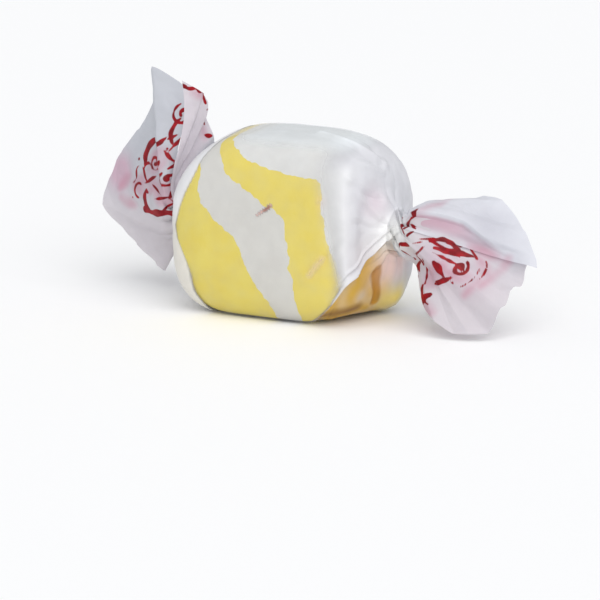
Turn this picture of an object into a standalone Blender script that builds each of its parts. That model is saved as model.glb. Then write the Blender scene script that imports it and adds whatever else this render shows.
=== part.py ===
# A piece of salt water taffy in its twisted wax paper.
#
# The sweet is a short, fat disc cut from a striped rope. It stands on a flattened spot of its rim,
# with one cut face towards -Y and the rope's own direction along Y. Its stripes are solids that run
# through the disc from face to face. The paper is one sheet, rolled once round the disc about the
# X axis with a lap on the lower front edge, gathered into a twisted neck at each side and opened
# beyond it into a crumpled fan. The origin is the middle of the flat spot that it stands on.

import math

import bpy
import numpy as np

MM = 0.001

# Driving dimensions of the wrapped disc, measured over the paper; a pair is at the front and the back
REACH = {"left": (15.3 * MM, 15.1 * MM), "right": (14.0 * MM, 16.1 * MM)}
HALF_DEPTH = 9.5 * MM
CENTRE_HEIGHT = 12.4 * MM
RISE = 12.8 * MM
DROP = 12.9 * MM

# Squareness of the outline's four corners, of the side walls and of the rim's two edges
CORNER_POWER = {
    ("right", "up"): (4.4, 2.9),
    ("left", "up"): (1.9, 3.3),
    ("left", "down"): (3.6, 3.2),
    ("right", "down"): (2.6, 6.0),
}
WALL_POWER = 5.5
RIM_POWER = 4.2

# The sheet of paper
PAPER = 0.22 * MM
LAP_GAP = 0.33 * MM
LAP_TURN = math.radians(32.0)
SEAM_TURN = math.radians(-58.0)
TUCK_FADE = 0.03

# The necks
NECK_AT = {"left": -16.0 * MM, "right": 16.4 * MM}
NECK_BACK = {"left": 1.2 * MM, "right": 0.0}
NECK_HEIGHT = 12.5 * MM
NECK_LENGTH = {"left": 1.6 * MM, "right": 2.2 * MM}
NECK_RADIUS = 3.5 * MM
WAIST = 0.35 * MM
TWIST = {"left": math.radians(60.0), "right": math.radians(80.0)}
PLEATS = 8
PLEAT_DEPTH = 0.2 * MM
PLEAT_SWAY = 0.5
PLEAT_DRIFT = 0.3
SHOULDER_LIFT = 0.12 * MM
SHOULDER_PLEAT = 0.2 * MM
SHOULDER_TUCK = 0.9

# The free rim of each fan, from the tucked edge round the front, under, up the back and over the top
# to the outer edge: how many columns of the sheet across, and an offset from the outer end of the neck
FAN_RIM = {
    "left": [(0, (1.0, 0.9, 16.4)), (2, (-1.1, 1.1, 18.0)), (4, (-5.6, 1.6, 19.7)), (5, (-5.3, 1.4, 15.0)),
             (7, (-8.5, 2.0, 10.2)), (10, (-12.2, 2.4, 5.7)), (14, (-13.9, 1.4, -0.9)),
             (17, (-9.7, 0.3, -4.4)), (20, (-6.4, 0.7, -7.2)), (23, (-3.7, 1.4, -9.7)),
             (27, (-6.8, 5.6, -5.0)), (32, (-10.2, 7.7, 1.4)), (38, (-5.8, 8.8, 6.4)),
             (43, (0.0, 7.7, 5.8)), (47, (2.2, 5.2, 8.9)), (50, (2.6, 3.2, 12.8)),
             (54, (3.8, -0.5, 17.2)), (56, (1.8, -3.2, 19.0))],
    "right": [(0, (16.9, 0.6, -2.0)), (2, (17.1, 0.2, -4.7)), (3, (16.9, -1.2, -6.2)),
              (6, (15.0, -3.8, -8.5)), (8, (13.5, -4.6, -11.3)), (12, (9.0, -6.1, -11.5)),
              (16, (4.8, -4.0, -8.7)), (20, (5.3, 2.0, -9.4)), (24, (8.8, 6.5, -8.5)),
              (29, (11.3, 6.0, -3.0)), (33, (8.8, 9.0, 0.3)), (38, (8.3, 6.5, 5.2)),
              (43, (12.7, 4.2, 5.0)), (50, (17.3, 1.4, 1.6)), (56, (18.9, -0.7, -2.6))],
}
RIM_SOFTNESS = 0.5
FLARE_START = 0.10
FLARE_SPREAD = {"left": 0.16, "right": 0.20}
FLARE_END = 0.30
TUCK_HOLD = 0.9
FAN_STEP_POWER = 0.85

# How far the outer edge of each fan is cut back between neck and rim: shares of the way out, shares of
# the sheet's width
EDGE_CUT = {
    "left": ((0.0, 0.12, 0.3, 0.5, 0.7, 0.85, 1.0), (0.0, 0.03, 0.035, 0.03, 0.02, 0.01, 0.0)),
    "right": ((0.0, 1.0), (0.0, 0.0)),
}
EDGE_CUT_START = 0.84

# The sweet inside, which keeps clear of the paper and of its tucked edge
FILLING_GAP = 0.35 * MM
TUCK_ROOM = 0.60 * MM
BASE_ROOM = 0.25 * MM
SIDE_ROOM = {"left": 0.45 * MM, "right": 0.0}
STRIPE_GAP = 0.30 * MM

# The lines between the stripes on the front face, as x and z in millimetres, from top to bottom
STRIPE_LINES = [
    [(-13.5, 24.0), (-10.4, 21.6), (-9.3, 19.9), (-9.4, 17.2), (-8.2, 15.2), (-6.2, 13.4), (-3.6, 11.4),
     (-2.8, 9.2), (-1.6, 6.8), (0.0, 4.2), (1.4, 2.4), (2.2, -1.5)],
    [(-10.0, 28.0), (-7.0, 23.8), (-5.8, 22.0), (-5.0, 20.5), (-2.7, 19.0), (0.8, 16.8), (3.3, 15.6),
     (4.0, 13.6), (4.4, 10.6), (4.8, 7.4), (5.2, 3.4), (5.5, -1.5)],
    [(-9.4, 29.0), (-6.8, 25.6), (-5.0, 24.1), (-2.7, 22.9), (0.4, 21.8), (4.4, 21.2), (8.6, 20.6),
     (9.3, 18.8), (9.5, 16.2), (10.1, 12.8), (11.0, 9.6), (12.2, 6.2), (14.0, 2.0), (15.5, -1.5)],
]
STRIPE_STEPS = 26
CUTTER_REACH = 20.0 * MM
CUTTER_DEPTH = 13.0 * MM
CUTTER_TOP = 30.0 * MM
CUTTER_BOTTOM = -10.0 * MM

# How finely the sheet and the sweet are divided
TURN_STEPS = 56
BODY_STEPS = 15
BODY_SWEEP = math.radians(73.0)
SWEEP_POWER = 3.0
SHOULDER_STEPS = 3
NECK_STEPS = 5
FAN_STEPS = 7
SWEET_RINGS = 20
SWEET_SIDES = 36
SWEET_SWEEP = math.radians(80.0)

PAPER_COLOUR = (0.80, 0.80, 0.83)
YELLOW = (0.88, 0.74, 0.17)
WHITE = (0.86, 0.84, 0.80)
ROUGHNESS = 0.5


def smoothstep(low, high, value):
    """0 below low, 1 above high, and a soft ramp between them."""
    t = np.clip((value - low) / (high - low), 0.0, 1.0)
    return t * t * (3.0 - 2.0 * t)


def side_of(x):
    return "left" if x < 0.0 else "right"


def outline_share(share, power):
    """How tall a rounded outline still is at this share of its reach."""
    return max(0.0, 1.0 - abs(share) ** power) ** (1.0 / power)


def front_to_back(pair, turn):
    """A value between the pair's first at the front and its second at the back."""
    return pair[0] + (pair[1] - pair[0]) * 0.5 * (1.0 - math.cos(turn))


def sweep_share(sweep):
    """The share of the reach that a sweep from the middle comes to, with even steps round the corner."""
    across, along = math.sin(abs(sweep)), math.cos(sweep)
    return across / (across ** SWEEP_POWER + along ** SWEEP_POWER) ** (1.0 / SWEEP_POWER)


def section(share, side, turn, inset):
    """A point of the wrapped disc's cross-section at a share of its reach to one side.

    turn runs round the X axis: 0 is the front, a quarter is the top and a half is the back.
    inset gives how far the point lies under the paper's outer face, for front, back, up and down.
    """
    half = "up" if math.sin(turn) > 0.0 else "down"
    power = front_to_back(CORNER_POWER[side, half], turn)
    height = (RISE if half == "up" else DROP) * outline_share(share, power)
    depth = HALF_DEPTH * outline_share(share, WALL_POWER)
    height = math.hypot(height, NECK_RADIUS) - inset[half]
    depth = depth - inset["front" if math.cos(turn) > 0.0 else "back"]
    norm = (abs(math.cos(turn)) ** RIM_POWER + abs(math.sin(turn)) ** RIM_POWER) ** (-1.0 / RIM_POWER)
    y = -depth * norm * math.cos(turn)
    z = CENTRE_HEIGHT + height * norm * math.sin(turn)
    return y, max(z, inset["down"])


NO_INSET = {"front": 0.0, "back": 0.0, "up": 0.0, "down": 0.0}


def sheet_turn(across):
    """The turn round the X axis at a share of the sheet's width, from its tucked to its outer edge."""
    return SEAM_TURN + (1.0 - across) * (2.0 * math.pi + LAP_TURN)


def tuck(across):
    """How far the sheet is pushed in where its outer edge laps over it."""
    lap_share = LAP_TURN / (2.0 * math.pi + LAP_TURN)
    return (PAPER + LAP_GAP) * (1.0 - smoothstep(lap_share, lap_share + TUCK_FADE, across))


def pleat(turn):
    """The pleats' wave, from -1 in a valley to 1 on a ridge, slightly uneven round the neck."""
    uneven = PLEAT_SWAY * math.sin(2.0 * turn) + PLEAT_DRIFT * math.sin(3.0 * turn + 1.0)
    return math.cos(PLEATS * turn + uneven)


def body_row(sweep):
    """One row of the sheet over the disc, from the tucked edge to the outer edge."""
    share = sweep_share(sweep)
    side = side_of(sweep)
    row = []
    for across in np.linspace(0.0, 1.0, TURN_STEPS + 1):
        turn = sheet_turn(across)
        x = math.copysign(front_to_back(REACH[side], turn) * share, sweep)
        y, z = section(share, side, turn, NO_INSET)
        lean = share ** WALL_POWER
        upright = 1.0 - lean
        inward = np.array([-math.copysign(lean, sweep), upright * math.cos(turn), -upright * math.sin(turn)])
        row.append(np.array([x, y, z]) + inward / np.linalg.norm(inward) * tuck(across))
    return row


def neck_row(side, along):
    """One ring of the twisted neck; along is 0 at the disc's end and 1 at the fan's end."""
    outwards = -1.0 if side == "left" else 1.0
    x = NECK_AT[side] + outwards * NECK_LENGTH[side] * along
    waist = NECK_RADIUS - WAIST * math.sin(math.pi * along)
    row = []
    for across in np.linspace(0.0, 1.0, TURN_STEPS + 1):
        turn = sheet_turn(across)
        radius = waist + PLEAT_DEPTH * pleat(turn) - tuck(across)
        twisted = turn + TWIST[side] * along
        row.append(np.array([x, NECK_BACK[side] - radius * math.cos(twisted),
                             NECK_HEIGHT + radius * math.sin(twisted)]))
    return row


def shoulder_rows(side, body_end, neck_start):
    """The rows that draw the paper in from the disc's side wall to the neck, in soft pleats."""
    outwards = -1.0 if side == "left" else 1.0
    rows = []
    for step in range(1, SHOULDER_STEPS):
        along = step / SHOULDER_STEPS
        bulge = math.sin(math.pi * along)
        row = []
        for index, (start, end) in enumerate(zip(body_end, neck_start)):
            across = index / TURN_STEPS
            turn = sheet_turn(across)
            point = start + (end - start) * along
            sink = SHOULDER_TUCK * tuck(across)
            point[0] += outwards * bulge * (SHOULDER_LIFT + SHOULDER_PLEAT * pleat(turn) - sink)
            point[1:] += bulge * sink * np.array([math.cos(turn), -math.sin(turn)])
            row.append(point)
        rows.append(row)
    return rows


def spline_point(points, index, t):
    """A point at the share t of the smooth curve from points[index] to the next one."""
    before, start = points[max(index - 1, 0)], points[index]
    end, after = points[index + 1], points[min(index + 2, len(points) - 1)]
    return 0.5 * (2.0 * start + (end - before) * t + (2.0 * before - 5.0 * start + 4.0 * end - after) * t ** 2
                  + (3.0 * start - before - 3.0 * end + after) * t ** 3)


def rim_point(side, across):
    """A point of the fan's free rim, at a share of the sheet's width, between crisp and smooth."""
    knots = [column / TURN_STEPS for column, offset in FAN_RIM[side]]
    points = np.array([offset for column, offset in FAN_RIM[side]]) * MM
    index = min(int(np.searchsorted(knots, across, side="right")) - 1, len(points) - 2)
    t = (across - knots[index]) / (knots[index + 1] - knots[index])
    crisp = points[index] + (points[index + 1] - points[index]) * t
    return crisp + (spline_point(points, index, t) - crisp) * RIM_SOFTNESS


def cut_back(row, side, along):
    """A fan's row with its outer edge cut back."""
    across = np.linspace(0.0, 1.0, TURN_STEPS + 1)
    cut = np.interp(along, *EDGE_CUT[side])
    wanted = across - cut * smoothstep(EDGE_CUT_START, 1.0, across)
    points = np.array(row)
    return list(np.stack([np.interp(wanted, across, points[:, axis]) for axis in range(3)], axis=1))


def fan_rows(side, neck_end):
    """The rows of a fan from its neck out to its free rim."""
    outwards = np.array([-1.0 if side == "left" else 1.0, 0.0, 0.0])
    foot = np.array([neck_end[0][0], NECK_BACK[side], NECK_HEIGHT])
    rows = []
    for step in range(1, FAN_STEPS + 1):
        along = (step / FAN_STEPS) ** FAN_STEP_POWER
        row = []
        for index, start in enumerate(neck_end):
            end = foot + rim_point(side, index / TURN_STEPS)
            reach = np.linalg.norm(end - start)
            spread = (start - foot) / np.linalg.norm(start - foot)
            opening = FLARE_SPREAD[side] * (1.0 - TUCK_HOLD * tuck(index / TURN_STEPS) / (PAPER + LAP_GAP))
            first = start + (outwards * FLARE_START + spread * opening) * reach
            last = end + (start - end) * FLARE_END
            rest = 1.0 - along
            row.append(rest ** 3 * start + 3.0 * rest ** 2 * along * first
                       + 3.0 * rest * along ** 2 * last + along ** 3 * end)
        rows.append(cut_back(row, side, along))
    return rows


def half_sheet(side, body_end):
    """The rows of one side of the sheet, from the disc's end out to the free rim."""
    necks = [neck_row(side, step / NECK_STEPS) for step in range(NECK_STEPS + 1)]
    return shoulder_rows(side, body_end, necks[0]) + necks + fan_rows(side, necks[-1])


def new_object(name, vertices, faces, colour):
    """A mesh object with its own material."""
    mesh = bpy.data.meshes.new(name)
    mesh.from_pydata([tuple(vertex) for vertex in vertices], [], faces)
    mesh.validate()
    mesh.update()
    thing = bpy.data.objects.new(name, mesh)
    bpy.context.scene.collection.objects.link(thing)
    material = bpy.data.materials.new(name)
    material.use_nodes = True
    shader = material.node_tree.nodes["Principled BSDF"]
    shader.inputs["Base Color"].default_value = (*colour, 1.0)
    shader.inputs["Roughness"].default_value = ROUGHNESS
    shader.inputs["Metallic"].default_value = 0.0
    mesh.materials.append(material)
    return thing


def grid_faces(row_count, row_length, closed):
    """Quads between rows of points; closed joins each row's last point to its first."""
    faces = []
    for row in range(row_count - 1):
        for index in range(row_length if closed else row_length - 1):
            right = (index + 1) % row_length
            low, high = row * row_length, (row + 1) * row_length
            faces.append((low + index, low + right, high + right, high + index))
    return faces


def make_wrapper():
    """The whole sheet as one thin solid."""
    middle = [body_row(sweep) for sweep in np.linspace(-BODY_SWEEP, BODY_SWEEP, BODY_STEPS + 1)]
    left = half_sheet("left", middle[0])
    right = half_sheet("right", middle[-1])
    rows = left[::-1] + middle + right
    vertices = [point for row in rows for point in row]
    wrapper = new_object("wrapper", vertices, grid_faces(len(rows), TURN_STEPS + 1, False), PAPER_COLOUR)
    split = wrapper.modifiers.new("split", "TRIANGULATE")
    split.quad_method = "SHORTEST_DIAGONAL"
    solid = wrapper.modifiers.new("paper", "SOLIDIFY")
    solid.thickness = PAPER
    solid.offset = -1.0
    solid.use_rim = True


def sweet_block(name, colour):
    """The whole sweet inside the paper, before it is cut into stripes."""
    under = PAPER + FILLING_GAP
    inset = {"front": under + TUCK_ROOM, "back": under, "up": under, "down": under + BASE_ROOM}
    vertices = []
    for sweep in np.linspace(-SWEET_SWEEP, SWEET_SWEEP, SWEET_RINGS):
        side = side_of(sweep)
        share = sweep_share(sweep)
        for index in range(SWEET_SIDES):
            turn = 2.0 * math.pi * (index + 0.5) / SWEET_SIDES
            reach = front_to_back(REACH[side], turn) - under - SIDE_ROOM[side]
            x = math.copysign(reach * share, sweep)
            y, z = section(share, side, turn, inset)
            vertices.append((x, y, z))
    faces = [tuple(reversed(face)) for face in grid_faces(SWEET_RINGS, SWEET_SIDES, True)]
    faces.append(tuple(range(SWEET_SIDES)))
    faces.append(tuple(reversed(range((SWEET_RINGS - 1) * SWEET_SIDES, SWEET_RINGS * SWEET_SIDES))))
    return new_object(name, vertices, faces, colour)


def stripe_line(points, shift):
    """A smooth line between two stripes, moved sideways by half of the gap between them."""
    control = np.array(points) * MM
    spans = len(control) - 1
    line = []
    for position in np.linspace(0.0, spans, STRIPE_STEPS + 1):
        index = min(int(position), spans - 1)
        line.append(spline_point(control, index, position - index))
    line = np.array(line)
    along = np.gradient(line, axis=0)
    along /= np.linalg.norm(along, axis=1)[:, None]
    return line + shift * np.column_stack([-along[:, 1], along[:, 0]])


def stripe_cutter(name, left_line, right_line):
    """A prism through the disc that holds one stripe, between two lines from top to bottom."""
    far_left = np.array([[-CUTTER_REACH, CUTTER_TOP], [-CUTTER_REACH, CUTTER_BOTTOM]])
    far_right = np.array([[CUTTER_REACH, CUTTER_TOP], [CUTTER_REACH, CUTTER_BOTTOM]])
    left = far_left if left_line is None else stripe_line(left_line, 0.5 * STRIPE_GAP)
    right = far_right if right_line is None else stripe_line(right_line, -0.5 * STRIPE_GAP)
    outline = np.concatenate([left, right[::-1]])
    count = len(outline)
    vertices = [(x, -CUTTER_DEPTH, z) for x, z in outline] + [(x, CUTTER_DEPTH, z) for x, z in outline]
    faces = [tuple(range(count)), tuple(reversed(range(count, 2 * count)))]
    for index in range(count):
        following = (index + 1) % count
        faces.append((following, index, index + count, following + count))
    cutter = new_object(name + "_cutter", vertices, faces, WHITE)
    cutter.hide_render = True
    cutter.display_type = "WIRE"
    return cutter


def make_stripe(name, colour, left_line, right_line):
    """One stripe of the sweet: the block, kept only inside the stripe's prism."""
    stripe = sweet_block(name, colour)
    cut = stripe.modifiers.new("stripe", "BOOLEAN")
    cut.operation = "INTERSECT"
    cut.solver = "EXACT"
    cut.object = stripe_cutter(name, left_line, right_line)


def clear_scene():
    for thing in list(bpy.data.objects):
        bpy.data.objects.remove(thing, do_unlink=True)


def build():
    clear_scene()
    make_wrapper()
    make_stripe("taffy_yellow_side", YELLOW, None, STRIPE_LINES[0])
    make_stripe("taffy_white_middle", WHITE, STRIPE_LINES[0], STRIPE_LINES[1])
    make_stripe("taffy_yellow_middle", YELLOW, STRIPE_LINES[1], STRIPE_LINES[2])
    make_stripe("taffy_white_side", WHITE, STRIPE_LINES[2], None)


build()
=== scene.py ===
import math

import bpy
import numpy as np
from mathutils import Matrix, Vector, noise


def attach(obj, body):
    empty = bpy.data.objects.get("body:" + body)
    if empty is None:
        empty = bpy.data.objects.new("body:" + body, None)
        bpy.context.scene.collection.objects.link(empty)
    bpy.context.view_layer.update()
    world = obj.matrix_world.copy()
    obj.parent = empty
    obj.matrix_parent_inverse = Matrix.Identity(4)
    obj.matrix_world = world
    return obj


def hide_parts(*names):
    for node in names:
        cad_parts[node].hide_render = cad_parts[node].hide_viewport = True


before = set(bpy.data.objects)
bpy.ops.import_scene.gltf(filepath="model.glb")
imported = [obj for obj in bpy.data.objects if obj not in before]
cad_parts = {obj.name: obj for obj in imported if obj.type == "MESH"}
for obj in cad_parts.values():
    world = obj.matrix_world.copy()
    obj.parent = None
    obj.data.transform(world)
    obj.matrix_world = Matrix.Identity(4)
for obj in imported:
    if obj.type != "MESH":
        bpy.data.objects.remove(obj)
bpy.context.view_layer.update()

MM = 0.001
FAR, TINY = 1e9, 1e-9

# The wrapped disc, as the solids have it: its reach at the front and at the back, its half depth, its
# height and the powers that round its outline, again at the front and at the back
REACH = {"left": (15.3, 15.1), "right": (14.0, 16.1)}
HALF_DEPTH = 9.5
CENTRE_HEIGHT = 12.4
RISE = 12.8
DROP = 12.9
CORNER_POWER = {
    ("right", "up"): (4.4, 2.9),
    ("left", "up"): (1.9, 3.3),
    ("left", "down"): (3.6, 3.2),
    ("right", "down"): (2.6, 6.0),
}
WALL_POWER = 5.5
RIM_POWER = 4.2
SWEEP_POWER = 3.0

# The lap of the sheet; the seam climbs the lower front corner towards the right neck
LAP_STEP = 0.14
LAP_TURN = math.radians(32.0)
SEAM_PATH_X = [4.0, 8.5, 11.0, 12.4, 13.6, 16.4, 18.6]
SEAM_PATH_TURN = [-58.0, -46.0, -39.0, -34.0, -36.0, -8.0, 22.0]
TUCK_FADE = 0.03

# The necks; the turn is where the seam lies at the neck's two ends
NECK_AT = {"left": -16.0, "right": 16.4}
NECK_BACK = {"left": 1.2, "right": 0.0}
NECK_HEIGHT = 12.5
NECK_LENGTH = {"left": 1.6, "right": 2.2}
NECK_RADIUS = 3.4
WAIST = 0.45
NECK_TURN = {"left": (-58.0, 27.0), "right": (-8.0, 22.0)}

# The free rim of each fan, from the tucked edge round the front, under, up the back and over the top
# to the outer edge: how many 56ths of the sheet across, and an offset from the outer end of the neck
RIM_PARTS = 56.0
FAN_RIM = {
    "left": [(0, (1.0, 0.9, 16.4)), (2, (-1.1, 1.1, 18.0)), (4, (-5.6, 1.6, 19.7)), (5, (-5.3, 1.4, 15.0)),
             (7, (-8.5, 2.0, 10.2)), (10, (-12.2, 2.4, 5.7)), (14, (-13.9, 1.4, -0.9)),
             (17, (-9.7, 0.3, -4.4)), (20, (-6.4, 0.7, -7.2)), (23, (-3.7, 1.4, -9.7)),
             (27, (-6.8, 5.6, -5.0)), (32, (-10.2, 7.7, 1.4)), (38, (-5.8, 8.8, 6.4)),
             (43, (0.0, 7.7, 5.8)), (47, (2.2, 5.2, 8.9)), (50, (2.6, 3.2, 12.8)),
             (54, (3.8, -0.5, 17.2)), (56, (1.8, -3.2, 19.0))],
    "right": [(0, (17.3, 0.0, -2.0)), (2, (17.3, -0.4, -4.7)), (3, (16.9, -1.5, -6.2)),
              (6, (15.0, -3.8, -8.5)), (8, (13.5, -4.6, -11.3)), (12, (9.0, -6.1, -11.5)),
              (16, (4.8, -4.0, -8.7)), (20, (5.3, 2.0, -9.4)), (24, (8.8, 6.5, -8.5)),
              (29, (11.3, 6.0, -3.0)), (33, (8.8, 9.0, 0.3)), (38, (8.3, 6.5, 5.2)),
              (43, (12.7, 4.2, 5.0)), (50, (17.3, 1.4, 1.6)), (56, (18.9, -0.7, -2.6))],
}
RIM_SOFTNESS = 0.5
FLARE_START = 0.10
FLARE_SPREAD = {"left": 0.16, "right": 0.20}
# Where the right fan's lower edge first runs on along the neck, which the solids leave out: places
# across the sheet, and how much
FLARE_LATE = ((0.0, 0.12, 0.20, 0.30, 0.38, 1.0), (0.0, 0.0, 1.0, 1.0, 0.0, 0.0))
FLARE_ALONG = 0.26
FLARE_NARROW = 0.20
FLARE_END = 0.30
FAN_STEP_POWER = 0.85

# How far the outer edge of each fan is cut back between neck and rim: shares of the way out, shares of
# the sheet's width
EDGE_CUT = {
    "left": ((0.0, 0.12, 0.3, 0.5, 0.7, 0.85, 1.0), (0.0, 0.03, 0.035, 0.03, 0.02, 0.01, 0.0)),
    "right": ((0.0, 1.0), (0.0, 0.0)),
}
EDGE_CUT_START = 0.84

# How finely the sheet is divided
COLUMNS = 448
BODY_SWEEP = math.radians(73.0)
BODY_CONTROLS = 15
SHOULDER_CONTROLS = 3
NECK_CONTROLS = 5
FAN_CONTROLS = 7
FINER = {"fan": 11, "neck": 6, "shoulder": 8, "body": 7}


def ramp(start, full, value):
    """A soft rise from 0 at the start to 1 where it is full, which may lie on either side."""
    t = np.clip((value - start) / (full - start), 0.0, 1.0)
    return t * t * (3.0 - 2.0 * t)


def between(start, full, falls, end, value):
    """Up a soft ramp from the start, and down another to the end."""
    return ramp(start, full, value) * ramp(end, falls, value)


def side_of(x):
    return "left" if x < 0.0 else "right"


def outwards(side):
    return -1.0 if side == "left" else 1.0


def outline_share(share, power):
    """How tall a rounded outline still is at this share of its reach."""
    return np.maximum(0.0, 1.0 - np.abs(share) ** power) ** (1.0 / power)


def front_to_back(pair, turn):
    """A value between the pair's first at the front and its second at the back."""
    return pair[0] + (pair[1] - pair[0]) * 0.5 * (1.0 - np.cos(turn))


def sweep_share(sweep):
    """The share of the reach that a sweep from the middle comes to."""
    across, along = math.sin(abs(sweep)), math.cos(sweep)
    return across / (across ** SWEEP_POWER + along ** SWEEP_POWER) ** (1.0 / SWEEP_POWER)


def section(share, side, turn, inset=0.0):
    """Points of the wrapped disc's cross-section at a share of its reach to one side, this far under it."""
    high = RISE * outline_share(share, front_to_back(CORNER_POWER[side, "up"], turn))
    low = DROP * outline_share(share, front_to_back(CORNER_POWER[side, "down"], turn))
    height = np.hypot(np.where(np.sin(turn) > 0.0, high, low), NECK_RADIUS) - inset
    depth = HALF_DEPTH * outline_share(share, WALL_POWER) - inset
    rim = np.abs(np.cos(turn)) ** RIM_POWER + np.abs(np.sin(turn)) ** RIM_POWER
    norm = rim ** (-1.0 / RIM_POWER)
    y = -depth * norm * np.cos(turn)
    z = CENTRE_HEIGHT + height * norm * np.sin(turn)
    return y, np.maximum(z, inset)


ACROSS = np.linspace(0.0, 1.0, COLUMNS + 1)
LAP_SHARE = LAP_TURN / (2.0 * math.pi + LAP_TURN)


def sheet_turn(seam):
    """The turn round the X axis of each column, where the outer edge lies at the seam's turn."""
    return math.radians(seam) + (1.0 - ACROSS) * (2.0 * math.pi + LAP_TURN)


def tuck():
    """How far each column is pushed in where the outer edge laps over it."""
    return LAP_STEP * ramp(LAP_SHARE + TUCK_FADE, LAP_SHARE, ACROSS)


def body_row(sweep):
    share, side = sweep_share(sweep), side_of(sweep)
    way = math.copysign(1.0, sweep)
    seam = np.interp(way * share * REACH[side][0], SEAM_PATH_X, SEAM_PATH_TURN)
    turn = sheet_turn(seam)
    x = way * share * front_to_back(REACH[side], turn)
    y, z = section(share, side, turn)
    lean = share ** WALL_POWER
    inward = np.stack([np.full_like(turn, -way * lean), (1.0 - lean) * np.cos(turn),
                       -(1.0 - lean) * np.sin(turn)], axis=1)
    inward /= np.linalg.norm(inward, axis=1)[:, None]
    return np.stack([x, y, z], axis=1) + inward * tuck()[:, None], turn


def neck_row(side, along):
    x = NECK_AT[side] + outwards(side) * NECK_LENGTH[side] * along
    start, end = NECK_TURN[side]
    turn = sheet_turn(start + (end - start) * along)
    radius = NECK_RADIUS - WAIST * math.sin(math.pi * along) - tuck()
    return np.stack([np.full_like(turn, x), NECK_BACK[side] - radius * np.cos(turn),
                     NECK_HEIGHT + radius * np.sin(turn)], axis=1), turn


def shoulder_row(body_end, neck_start, along):
    points = body_end[0] + (neck_start[0] - body_end[0]) * along
    return points, body_end[1] + (neck_start[1] - body_end[1]) * along


def rim_points(side):
    """The fan's free rim at each column, between crisp and smooth."""
    knots = np.array([column for column, offset in FAN_RIM[side]]) / RIM_PARTS
    points = np.array([offset for column, offset in FAN_RIM[side]])
    index = np.clip(np.searchsorted(knots, ACROSS, side="right") - 1, 0, len(points) - 2)
    t = ((ACROSS - knots[index]) / (knots[index + 1] - knots[index]))[:, None]
    before, start = points[np.maximum(index - 1, 0)], points[index]
    end, after = points[index + 1], points[np.minimum(index + 2, len(points) - 1)]
    crisp = start + (end - start) * t
    smooth = 0.5 * (2.0 * start + (end - before) * t
                    + (2.0 * before - 5.0 * start + 4.0 * end - after) * t ** 2
                    + (3.0 * start - before - 3.0 * end + after) * t ** 3)
    return crisp + (smooth - crisp) * RIM_SOFTNESS


def cut_back(points, side, along):
    """A fan's row with its outer edge cut back."""
    cut = np.interp(along, *EDGE_CUT[side])
    wanted = ACROSS - cut * ramp(EDGE_CUT_START, 1.0, ACROSS)
    return np.stack([np.interp(wanted, ACROSS, points[:, axis]) for axis in range(3)], axis=1)


def fan_row(side, neck_end, along):
    """One row of a fan; along is 0 at the neck and 1 at the free rim."""
    start, turn = neck_end
    foot = np.array([start[0, 0], NECK_BACK[side], NECK_HEIGHT])
    end = foot + rim_points(side)
    reach = np.linalg.norm(end - start, axis=1)[:, None]
    spread = (start - foot) / np.linalg.norm(start - foot, axis=1)[:, None]
    away = np.array([outwards(side), 0.0, 0.0])
    late = np.interp(ACROSS, *FLARE_LATE)[:, None] * (side == "right")
    first = start + (away * (FLARE_START + FLARE_ALONG * late)
                     + spread * (FLARE_SPREAD[side] - FLARE_NARROW * late)) * reach
    last = end + (start - end) * FLARE_END
    t, rest = along, 1.0 - along
    points = rest ** 3 * start + 3.0 * rest ** 2 * t * first + 3.0 * rest * t ** 2 * last + t ** 3 * end
    return cut_back(points, side, along), turn


def control_rows():
    """The rows of points that carry the sheet, with each row's turns and the kind of each stretch."""
    middle = [body_row(s) for s in np.linspace(-BODY_SWEEP, BODY_SWEEP, BODY_CONTROLS + 1)]
    halves = {}
    for side, body_end in (("left", middle[0]), ("right", middle[-1])):
        necks = [neck_row(side, step / NECK_CONTROLS) for step in range(NECK_CONTROLS + 1)]
        shoulders = [shoulder_row(body_end, necks[0], step / SHOULDER_CONTROLS)
                     for step in range(1, SHOULDER_CONTROLS)]
        fans = [fan_row(side, necks[-1], (step / FAN_CONTROLS) ** FAN_STEP_POWER)
                for step in range(1, FAN_CONTROLS + 1)]
        halves[side] = shoulders + necks + fans
    kinds = (["shoulder"] * SHOULDER_CONTROLS + ["neck"] * NECK_CONTROLS + ["fan"] * FAN_CONTROLS)
    rows = halves["left"][::-1] + middle + halves["right"]
    return rows, kinds[::-1] + ["body"] * BODY_CONTROLS + kinds


def smooth_rows(values, knots, wanted):
    """A smooth curve through the rows' values, read at the wanted places along the sheet."""
    gaps = np.diff(knots)
    shape = (-1,) + (1,) * (values.ndim - 1)
    slopes = np.diff(values, axis=0) / gaps.reshape(shape)
    before, after = gaps[:-1].reshape(shape), gaps[1:].reshape(shape)
    inner = (after * slopes[:-1] + before * slopes[1:]) / (before + after)
    tangents = np.concatenate([slopes[:1], inner, slopes[-1:]])
    index = np.clip(np.searchsorted(knots, wanted, side="right") - 1, 0, len(knots) - 2)
    gap = gaps[index].reshape(shape)
    t = ((wanted - knots[index]) / gaps[index]).reshape(shape)
    return ((2 * t ** 3 - 3 * t ** 2 + 1) * values[index] + (t ** 3 - 2 * t ** 2 + t) * gap * tangents[index]
            + (3 * t ** 2 - 2 * t ** 3) * values[index + 1] + (t ** 3 - t ** 2) * gap * tangents[index + 1])


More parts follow.
